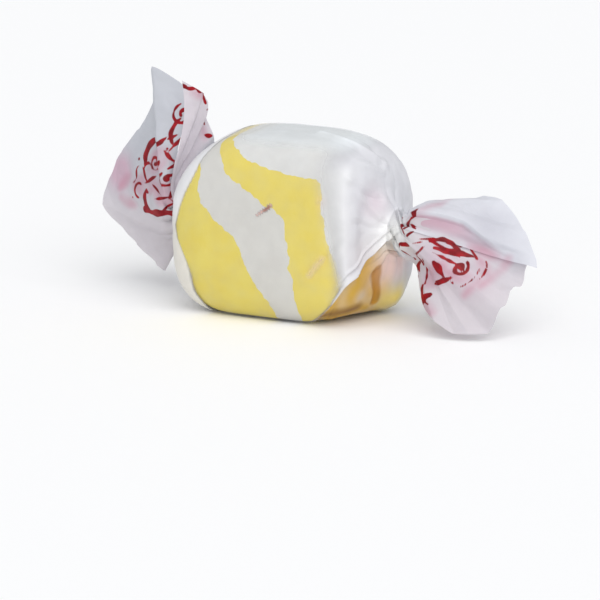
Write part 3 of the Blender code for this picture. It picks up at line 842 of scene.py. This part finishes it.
# How far from the ink's edge the print fades, and the paper's mottling, ink and bump: blob sizes,
# limits and strengths
INK_FADES = (0.06, -0.06)
MOTTLE, MOTTLE_SIZE, MOTTLE_SHARE = (0.3, 0.3, 0.36), 3.5, 0.06
INK_MOTTLE_SIZE = 1.2
MIDDLE_SPAN = (0.3, 0.7)
PAPER_ROUGHNESS, PAPER_SPECULAR = 0.42, 0.3
PAPER_BUMP_SIZE, PAPER_BUMP_STRENGTH, PAPER_BUMP_HEIGHT = 0.9, 0.25, 0.07
HAZE_SIZE, HAZE_SPAN, HAZE_SWAY = 2.4, (0.3, 0.8), (-0.03, 0.03)
LIGHT_THROUGH_TAILS = 0.28


def paper_material(see_through):
    made = Nodes("wax_paper_on_sweet" if see_through else "wax_paper_tails")
    mottling = made.span(made.noise(MOTTLE_SIZE, 3.0), *MIDDLE_SPAN, 0.0, MOTTLE_SHARE)
    mottled = made.mix(mottling, made.attribute("tint", "Color"), MOTTLE)
    ink = made.mix(made.span(made.noise(INK_MOTTLE_SIZE), *MIDDLE_SPAN), INK, INK_DARK)
    colour = made.mix(made.span(made.attribute("ink"), *INK_FADES), mottled, ink)
    made.surface(colour, PAPER_ROUGHNESS, PAPER_SPECULAR)
    made.bump(made.noise(PAPER_BUMP_SIZE, 3.0, 0.6), PAPER_BUMP_STRENGTH, PAPER_BUMP_HEIGHT)
    if see_through:
        sway = made.span(made.noise(HAZE_SIZE, 3.0), *HAZE_SPAN, *HAZE_SWAY)
        made.fill(made.shader, {"Alpha": made.total(made.attribute("haze"), sway)})
    else:
        made.let_through(colour, LIGHT_THROUGH_TAILS)
    return made.material


# Where the milky rim at the left of the disc begins: heights, and places along the roll
LEFT_RIM = (
    (0.0, 1.4, 3.3, 5.7, 7.3, 9.0, 10.6, 12.4, 15.0, 16.9, 19.0, 20.6, 22.0, 23.2, 24.4),
    (-8.6, -9.4, -10.5, -10.9, -11.3, -12.2, -13.1, -13.5, -12.6, -11.8, -10.7, -10.0, -9.6, -8.8, -8.3),
)
LEFT_RIM_FADES = (0.26, -0.26)
# The same where the paper turns over the top: depths, heights and places along the roll
TOP_RIM_DEPTH, TOP_RIM_HIGH, TOP_RIM_ENDS = (-5.6, -3.4), (22.4, 23.4), (-2.0, -5.0)


def left_rim(points):
    """1 where the paper turns away from the front at the left of the disc, with a crisp limit."""
    return ramp(*LEFT_RIM_FADES, points[..., 0] - np.interp(points[..., 2], *LEFT_RIM))


def top_left_rim(points):
    """1 where the paper turns over the top at the left of the disc."""
    x, y, z = points[..., 0], points[..., 1], points[..., 2]
    return ramp(*TOP_RIM_DEPTH, y) * ramp(*TOP_RIM_HIGH, z) * ramp(*TOP_RIM_ENDS, x)


# Soft spots that add up: strength, middle and radius. The first are darker rose, where print shows through,
# with painted shade; the second are painted shade on the right fan
ROSE_SHADE_SPOTS = [(0.4, (29.0, -3.4, 8.0), 2.6), (0.5, (24.8, -4.2, 10.6), 2.8), (1.5, (-28.6, 2.6, 16.6), 2.4)]
SHADES = [(0.8, (30.6, -0.4, 14.6), 3.6), (0.4, (34.5, -1.0, 11.0), 3.0)]
# Marks on the paper of the disc, each over the ones before it: where it may show, its colour and
# strength, and a point or a line with the mark's reach round it
MARKS = [
    ("inner", PAPER_ROSE, 1.2, near_point, (16.4, 1.4, 8.8), 4.0),
    ("inner", PAPER_LEMON, 1.2, near_point, (14.6, 3.0, 2.4), 2.4),
    # The sweet's yellow in the crease, deepened as painted shade
    ("inner", PAPER_AMBER_AND_SHADE, 2.6, near_line, [(15.2, -2.4, 7.4), (14.85, -1.2, 4.6), (14.1, -0.5, 2.0)], 1.0),
    # Painted shadow along the bottom at the lower right
    ("inner", PAPER_BROWN_SHADOW, 1.0, near_line, [(7.5, -7.6, 1.4), (10.5, -6.4, 1.6), (12.8, -4.0, 1.8)], 1.6),
    # Painted shade beside the crease of the inner layer
    ("inner", PAPER_BROWN_SHADOW, 0.6, near_line, [(15.4, -1.9, 6.6), (14.9, -0.8, 4.4), (14.2, 0.0, 2.4)], 0.4),
    ("disc", PAPER_ROSE, 0.9, near_point, (16.2, 1.4, 8.2), 2.8),
    ("disc", PAPER_LEMON, 1.0, near_point, (15.0, 3.0, 2.8), 2.2),
    ("all", PAPER_LILAC, 0.9, near_point, (14.8, -3.6, 17.2), 2.2),
    ("outer", PAPER_BLUSH, 0.5, near_point, (14.4, -5.0, 10.0), 3.0),
    # Painted light on the right neck, where its pleats fall in shade
    ("all", PAPER_PAINTED_LIGHT, 1.0, near_point, (17.6, -3.0, 12.6), 2.8),
]
LAST_MARKS = [
    ("all", SLIT_ROSE, 1.6, near_line, SLIT, 0.27),
    ("all", SLIT_BROWN, 1.8, near_line, SLIT_HEART, 0.32),
    ("all", PALE_ROSE, 1.2, near_line, PALE_STREAK, 1.4),
    ("all", PALE_ROSE, 1.0, near_point, SPOT, 0.8),
]
# Where the tints of the tails, the flap, the low parts, the dome's valley and the painted light on the top
# come in; the tails' tints and that of the right fan's low part are painted light and shade
TAIL_COMES, FLAP_COMES, LOW_LEFT_COMES = (0.4, 2.0), (0.84, 0.88), (18.0, 10.0)
LOW_RIGHT_GOES, TOP_COMES, RIM_TOP_COMES = (0.40, 0.25), (23.6, 25.2), (10.0, 16.0)
VALLEY_SHARE, VALLEY_ACROSS = 0.75, (0.0, 0.008, 0.03, 0.075)
TAN_MEAN, TAN_SWAY, TAN_BLOBS, TAN_SEED = 0.85, 0.4, 2.6, 7
# A band of painted light along the right of the front, and painted light on the rim at the top left
BAND_SHARE, BAND_ALONG, BAND_TOP = 0.42, (8.4, 10.2, 11.8, 13.8), (23.5, 21.0)
TOP_RIM_SHARE = 0.8
# How far out on the shoulders the tints of the disc go, and the marks a little farther
TINTS_END, MARKS_END = 1.0, 1.2


def paper_tint(sheet, ghost, beyond):
    """The paper's colour at each point, with its painted light and shade, before the print and the fine
    mottling of its material.
    """
    points = sheet.smooth
    x, y, z = points[:, :, 0], points[:, :, 1], points[:, :, 2]
    tint = np.broadcast_to(np.array(PAPER_DISC), points.shape).copy()

    def blend(colour, share):
        share = np.broadcast_to(np.clip(share, 0.0, 1.0), x.shape)[..., None]
        tint[:] = tint + (np.array(colour) - tint) * share

    def spots(marks):
        return sum(strength * near_point(points, centre, radius) for strength, centre, radius in marks)

    def mark(marks):
        for where, colour, strength, near, place, reach in marks:
            blend(colour, strength * near(points, place, reach) * shown[where])

    for side in ("left", "right"):
        # Painted shade on the left tail and painted light on the right one
        blend(PAPER_TAIL_LIT_AND_SHADED[side], ramp(*TAIL_COMES, sheet.shoulder[side])[:, None])
    flap = ramp(*FLAP_COMES, ACROSS)
    left_fan = (sheet.fan["left"] > 0.0)[:, None]
    blend(PAPER_FLAP, flap * left_fan)
    blend(PAPER_LOW_LEFT, ramp(*LOW_LEFT_COMES, z) * left_fan * (1.0 - flap))
    # Painted shade with a rose cast on the low part of the right fan
    blend(PAPER_LOW_RIGHT_SHADED, ramp(*LOW_RIGHT_GOES, ACROSS) * (sheet.fan["right"] > 0.0)[:, None])
    dome, on_dome = dome_place(sheet)
    # Pink print showing through in the dome's valley, with painted shade
    blend(PAPER_VALLEY_PINK_SHADE, VALLEY_SHARE * between(*VALLEY_ACROSS, dome) * on_dome)
    # Darker rose spots, print showing through with painted shade
    blend(PAPER_ROSE_SHADE, spots(ROSE_SHADE_SPOTS))
    on_disc, marked = beyond < TINTS_END, beyond < MARKS_END
    # Painted light on the top of the disc
    blend(PAPER_TOP_PAINTED_LIGHT, ramp(*TOP_COMES, z) * on_disc)
    rim = left_rim(points) * on_disc
    blend(PAPER_RIM, rim)
    blend(PAPER_RIM_TOP, rim * ramp(*RIM_TOP_COMES, z))
    inner = lower_right(x, sheet.turn) * marked
    # The yellow sweet through the inner layer, darkened as painted shade
    blend(PAPER_TAN_AND_SHADE, inner * (TAN_MEAN + TAN_SWAY * field(points, TAN_BLOBS, TAN_SEED)))
    shown = {"inner": inner, "outer": 1.0 - inner, "disc": marked, "all": 1.0}
    mark(MARKS)
    # Painted light on the rim at the top left and in a band along the right of the front
    blend(PAPER_PAINTED_LIGHT, TOP_RIM_SHARE * top_left_rim(points) * on_disc)
    band = between(*BAND_ALONG, x) * ramp(*BAND_TOP, z) * (y < 0.0)
    blend(PAPER_PAINTED_LIGHT, BAND_SHARE * band * (1.0 - inner))
    blend(PAPER_SHADE, spots(SHADES))
    mark(LAST_MARKS)
    blend(PINK, GHOST_SHARE * ghost)
    return tint


# How milky the paper is everywhere, and what is added where it stands off, beyond the disc and on top
HAZE_LEAST, HAZE_OFF, HAZE_BEYOND, HAZE_TOP = 0.12, 0.30, 0.9, 0.40
OFF_COMES, BEYOND_COMES, HIGH_COMES, HIGH_FROM = (0.35, 1.0), (-1.2, 0.6), (24.0, 25.5), (-6.5, -2.5)
# The milky wall at the right: heights, where it begins along the roll at each, and where it is full
WALL_STARTS, WALL_FULL = ((4.0, 12.0, 20.0), (12.0, 9.4, 7.2)), 13.8
# The lap's milky edge, and how milky that edge and the other milky parts are
LAP_EDGE_FADES, LAP_EDGE_COMES = (0.55, 0.35), (9.8, 11.4)
MILKY = {"lap edge": 0.85, "top rim": 0.42, "inner": 0.95, "left rim": 0.93, "streak": 0.38}
MILKY_MARKS = [
    (1.8, near_line, SLIT, 0.22), (2.4, near_line, SLIT_HEART, 0.28), (0.35, near_point, SPOT, 0.7),
]
STREAK_REACH = 1.1
# The hidden layer of the lap adds no milkiness of its own, up to the right side wall
HIDDEN_SOFTNESS, HIDDEN_GOES, HIDDEN_BEFORE = 0.004, (12.0, 9.0), 0.2
# The left rim's milkiness keeps this many neck lengths away from the right neck
RIM_KEEPS_OFF = -3.0


def milkiness(sheet, beyond):
    """How milky the paper is at each point: clear where it clings, and white where it stands off."""
    points = sheet.smooth
    x, z = points[:, :, 0], points[:, :, 2]
    wall_start = np.interp(z, *WALL_STARTS)
    haze = (HAZE_LEAST + HAZE_OFF * ramp(*OFF_COMES, sheet.gap)
            + ramp(0.0, 1.0, (x - wall_start) / (WALL_FULL - wall_start))
            + HAZE_BEYOND * ramp(*BEYOND_COMES, beyond)
            + HAZE_TOP * ramp(*HIGH_COMES, z) * ramp(*HIGH_FROM, x))
    lap_edge = ramp(*LAP_EDGE_FADES, sheet.edge) * ramp(*LAP_EDGE_COMES, x) * (ACROSS > 0.5)
    parts = [MILKY["lap edge"] * lap_edge, MILKY["top rim"] * top_left_rim(points),
             MILKY["inner"] * lower_right(x, sheet.turn),
             MILKY["streak"] * ramp(0.0, 1.0, near_line(points, PALE_STREAK, STREAK_REACH))]
    parts += [strength * near(points, place, reach) for strength, near, place, reach in MILKY_MARKS]
    for part in parts:
        haze = np.maximum(haze, part)
    hidden = ramp(LAP_SHARE + HIDDEN_SOFTNESS, LAP_SHARE - HIDDEN_SOFTNESS, ACROSS)
    hidden = hidden * ramp(*HIDDEN_GOES, x) * (beyond < HIDDEN_BEFORE)
    rim = MILKY["left rim"] * left_rim(points) * (sheet.neck["right"] < RIM_KEEPS_OFF)[:, None]
    return np.clip(np.maximum(haze * (1.0 - hidden), rim), 0.0, 1.0)


def make_paper():
    sheet = Sheet()
    detail(sheet)
    rows, columns = sheet.points.shape[:2]
    faces = grid_faces(rows, columns)
    paper = grid_object("wax_paper", sheet.points.reshape(-1, 3), faces, paper_material(True))
    paper.data.materials.append(paper_material(False))
    # Below 0 on the disc, 0 to 1 on its shoulders and more on the necks and the fans
    beyond = np.maximum(sheet.shoulder["left"], sheet.shoulder["right"])[:, None]
    tail_faces = np.repeat(beyond[:-1, 0] > TAILS_FROM, columns - 1)
    paper.data.polygons.foreach_set("material_index", tail_faces.astype(np.int32))
    ink, ghost = printed(sheet)
    add_values(paper, "ink", ink)
    add_values(paper, "haze", milkiness(sheet, beyond))
    add_tint(paper, paper_tint(sheet, ghost, beyond))
    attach(paper, "root")
    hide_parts("wrapper")


CORE_RINGS = 14
CORE_SIDES = 96
CORE_RADIUS = 3.1
CORE_DEPTH = 1.6
CORE_PLEATS = 9
CORE_PLEAT_DEPTH = 0.55
CORE_SPIRAL = 1.6
CORE_SWAY, CORE_SEED = 0.4, 1.0
CORE_AT = 0.7
CORE_INNERMOST = 0.04
CORE_POWER = 1.5


def make_neck_core(side):
    """The gathered pleats that fill a neck, seen only from its end."""
    share = np.linspace(1.0, CORE_INNERMOST, CORE_RINGS)[:, None]
    angle = np.linspace(0.0, 2.0 * math.pi, CORE_SIDES + 1)[None, :]
    wave = pleat_wave(angle + CORE_SPIRAL * (1.0 - share), CORE_PLEATS, CORE_SWAY, CORE_SEED)
    foot = NECK_AT[side] + outwards(side) * CORE_AT * NECK_LENGTH[side]
    x = foot + outwards(side) * (CORE_PLEAT_DEPTH * wave * share - CORE_DEPTH * (1.0 - share) ** CORE_POWER)
    y = NECK_BACK[side] + CORE_RADIUS * share * np.cos(angle)
    z = NECK_HEIGHT + CORE_RADIUS * share * np.sin(angle)
    points = np.stack([x, y, z], axis=2)
    core = grid_object("wax_paper_neck_" + side, points.reshape(-1, 3),
                       grid_faces(CORE_RINGS, CORE_SIDES + 1), paper_material(False))
    add_values(core, "ink", np.full(points.shape[:2], NO_INK))
    # The tail's colour, with the painted shade of the left tail and the painted light of the right
    add_tint(core, np.broadcast_to(np.array(PAPER_TAIL_LIT_AND_SHADED[side]), points.shape))
    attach(core, "root")
    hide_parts("wrapper")


# The lines between the stripes on the front face, as x and z, from top to bottom
STRIPE_LINES = [
    [(-13.5, 24.0), (-10.4, 21.6), (-9.3, 19.9), (-9.4, 17.2), (-8.2, 15.2), (-6.2, 13.4), (-3.6, 11.4),
     (-2.8, 9.2), (-1.6, 6.8), (0.0, 4.2), (1.4, 2.4), (2.2, -1.5)],
    [(-10.8, 28.0), (-7.7, 24.1), (-6.2, 22.1), (-5.1, 20.5), (-2.7, 19.0), (0.8, 16.8), (3.3, 15.6),
     (4.0, 13.6), (4.4, 10.6), (4.8, 7.4), (5.2, 3.4), (5.5, -1.5)],
    [(-9.4, 29.0), (-6.8, 25.6), (-5.0, 24.1), (-2.7, 22.9), (0.4, 21.8), (4.4, 21.2), (8.6, 20.6),
     (9.3, 18.8), (9.5, 16.2), (10.1, 12.8), (11.0, 9.6), (12.2, 6.2), (14.0, 2.0), (15.5, -1.5)],
]
STRIPE_STEPS = 200
# The jags of a line between two stripes: how far they reach, their blob sizes and the share of each
STRIPE_JAG = 0.36
JAGS = ((1.5, 1.0), (0.55, 0.55))


def stripe_line(points, seed):
    """A smooth line between two stripes, with the small jags of the pulled sweet."""
    control = np.array(points)
    wanted = np.linspace(0.0, len(control) - 1.0, STRIPE_STEPS + 1)
    line = smooth_rows(control, np.arange(float(len(control))), wanted)
    jag = [sum(share * noise.noise(Vector((x / size, z / size, seed))) for size, share in JAGS)
           for x, z in line]
    along = np.gradient(line, axis=0)
    along /= np.linalg.norm(along, axis=1)[:, None]
    return line + STRIPE_JAG * np.array(jag)[:, None] * np.stack([-along[:, 1], along[:, 0]], axis=1)


SWEET_RINGS = 90
SWEET_SIDES = 160
SWEET_SWEEP = math.radians(80.0)


def sweet_block():
    """The points and faces of the whole sweet, close under the paper."""
    turns = 2.0 * math.pi * (np.arange(SWEET_SIDES) + 0.5) / SWEET_SIDES
    rings = []
    for sweep in np.linspace(-SWEET_SWEEP, SWEET_SWEEP, SWEET_RINGS):
        side, share, way = side_of(sweep), sweep_share(sweep), math.copysign(1.0, sweep)
        x = way * share * front_to_back(REACH[side], turns)
        z = section(share, side, turns)[1]
        gap = PAPER_GAP + sweet_inset(x, turns, z)
        x = way * share * (front_to_back(REACH[side], turns) - gap)
        y, z = section(share, side, turns, gap)
        rings.append(np.stack([x, y, z], axis=1))
    points = np.array(rings).reshape(-1, 3)
    index = np.arange(SWEET_RINGS * SWEET_SIDES).reshape(SWEET_RINGS, SWEET_SIDES)
    beside = np.roll(index, -1, axis=1)
    faces = np.stack([index[:-1], index[1:], beside[1:], beside[:-1]], axis=-1).reshape(-1, 4).tolist()
    return points, faces + [index[0].tolist(), index[-1][::-1].tolist()]


def plain_object(name, vertices, faces, material):
    mesh = bpy.data.meshes.new(name)
    mesh.from_pydata((np.asarray(vertices) * MM).tolist(), [], faces)
    return placed_mesh(name, mesh, material)


# The sweet's cloudiness and grain: blob sizes, limits and strengths
CLOUD_SIZE, CLOUD_SPAN = 2.8, (0.35, 0.75)
GRAIN_SIZE, GRAIN_STRENGTH, GRAIN_HEIGHT = 0.6, 0.15, 0.05
SWEET_ROUGHNESS, SWEET_SPECULAR = 0.5, 0.3


def sweet_material(name, colour, deep):
    made = Nodes(name)
    cloudy = made.span(made.noise(CLOUD_SIZE, 4.0, 0.6), *CLOUD_SPAN)
    made.surface(made.mix(cloudy, colour, deep), SWEET_ROUGHNESS, SWEET_SPECULAR)
    made.bump(made.noise(GRAIN_SIZE, 3.0, 0.6), GRAIN_STRENGTH, GRAIN_HEIGHT)
    return made.material


SWEET_COLOURS = {
    "taffy_yellow_side": ((0.76, 0.635, 0.10), (0.75, 0.60, 0.06)),
    "taffy_white_middle": ((0.665, 0.655, 0.615), (0.63, 0.615, 0.575)),
    "taffy_yellow_middle": ((0.775, 0.64, 0.105), (0.76, 0.61, 0.07)),
    "taffy_white_side": ((0.705, 0.705, 0.685), (0.67, 0.665, 0.64)),
}
CUT_LIMIT = 40.0
SHARP_FROM = math.radians(50.0)


def make_sweet():
    points, faces = sweet_block()
    lines = [stripe_line(line, seed) for seed, line in enumerate(STRIPE_LINES)]
    far_left = np.array([[-CUT_LIMIT, CUT_LIMIT], [-CUT_LIMIT, -CUT_LIMIT]])
    far_right = np.array([[CUT_LIMIT, CUT_LIMIT], [CUT_LIMIT, -CUT_LIMIT]])
    stripes = [
        ("taffy_yellow_side", far_left, lines[0]),
        ("taffy_white_middle", lines[0], lines[1]),
        ("taffy_yellow_middle", lines[1], lines[2]),
        ("taffy_white_side", lines[2], far_right),
    ]
    for node, left, right in stripes:
        material = sweet_material("sweet_" + node, *SWEET_COLOURS[node])
        stripe = plain_object("sweet_" + node, points, faces, material)
        outline = np.concatenate([left, right[::-1]])
        count = len(outline)
        prism = [(x, way * CUT_LIMIT, z) for way in (-1.0, 1.0) for x, z in outline]
        walls = [((i + 1) % count, i, i + count, (i + 1) % count + count) for i in range(count)]
        ends = [tuple(range(count)), tuple(reversed(range(count, 2 * count)))]
        cutter = plain_object("cutter", prism, ends + walls, None)
        cut = stripe.modifiers.new("stripe", "BOOLEAN")
        cut.operation = "INTERSECT"
        cut.solver = "EXACT"
        cut.object = cutter
        graph = bpy.context.evaluated_depsgraph_get()
        shaped = bpy.data.meshes.new_from_object(stripe.evaluated_get(graph))
        stripe.modifiers.clear()
        stripe.data = shaped
        shaped.shade_smooth()
        shaped.set_sharp_from_angle(angle=SHARP_FROM)
        bpy.data.objects.remove(cutter, do_unlink=True)
        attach(stripe, "root")
        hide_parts(node)


# The camera's place follows from the photograph; the disc sits above and left of the frame's middle
AZIMUTH = math.radians(27.0)
ELEVATION = math.radians(12.0)
DISTANCE = 460.0
PIXELS_PER_MM = 7.2
IMAGE_SIZE = 600.0
SENSOR = 36.0
TARGET = np.array([0.0, 0.0, 12.5])
TARGET_OFFSET = (10.0, 78.0)
CLIP = (0.01, 20.0)


def make_camera():
    right = np.array([math.cos(AZIMUTH), math.sin(AZIMUTH), 0.0])
    back = np.array([math.sin(AZIMUTH) * math.cos(ELEVATION), -math.cos(AZIMUTH) * math.cos(ELEVATION),
                     math.sin(ELEVATION)])
    up = np.cross(back, right)
    eye = TARGET + DISTANCE * back
    aim = TARGET + (TARGET_OFFSET[0] * right - TARGET_OFFSET[1] * up) / PIXELS_PER_MM
    data = bpy.data.cameras.new("camera")
    data.sensor_width = SENSOR
    data.lens = PIXELS_PER_MM * SENSOR * DISTANCE / IMAGE_SIZE
    data.clip_start, data.clip_end = CLIP
    camera = placed("camera", data)
    camera.location = Vector(eye * MM)
    camera.rotation_euler = Vector((eye - aim) * MM).to_track_quat("Z", "Y").to_euler()
    bpy.context.scene.camera = camera


# The studio: its sky, one broad key light and a pale floor
SKY_COLOUR, SKY_STRENGTH = (0.95, 0.97, 1.0, 1.0), 0.57
KEY_FROM, KEY_STRENGTH, KEY_SPREAD, KEY_COLOUR = (0.36, -0.38, 0.62), 2.0, 70.0, (1.0, 0.99, 0.98)
FLOOR_COLOUR, FLOOR_ROUGHNESS = (0.97, 0.97, 0.97), 0.7
FLOOR_HALF, FLOOR_LEVEL = 6000.0, -0.05


def make_light():
    data = bpy.data.lights.new("key", "SUN")
    data.energy = KEY_STRENGTH
    data.angle = math.radians(KEY_SPREAD)
    data.color = KEY_COLOUR
    placed("key", data).rotation_euler = Vector(KEY_FROM).to_track_quat("Z", "Y").to_euler()


def make_studio():
    bpy.context.scene.view_settings.view_transform = "Standard"
    world = bpy.data.worlds.new("studio")
    bpy.context.scene.world = world
    world.use_nodes = True
    backdrop = world.node_tree.nodes["Background"]
    backdrop.inputs["Color"].default_value = SKY_COLOUR
    backdrop.inputs["Strength"].default_value = SKY_STRENGTH
    make_light()
    floor_look = Nodes("floor")
    floor_look.fill(floor_look.shader, {"Base Color": FLOOR_COLOUR, "Roughness": FLOOR_ROUGHNESS})
    corners = [(x * FLOOR_HALF, y * FLOOR_HALF, FLOOR_LEVEL) for x, y in ((-1, -1), (1, -1), (1, 1), (-1, 1))]
    floor = grid_object("floor", corners, [(0, 1, 2, 3)], floor_look.material)


make_camera()
make_paper()
for side in ("left", "right"):
    make_neck_core(side)
make_sweet()
make_studio()
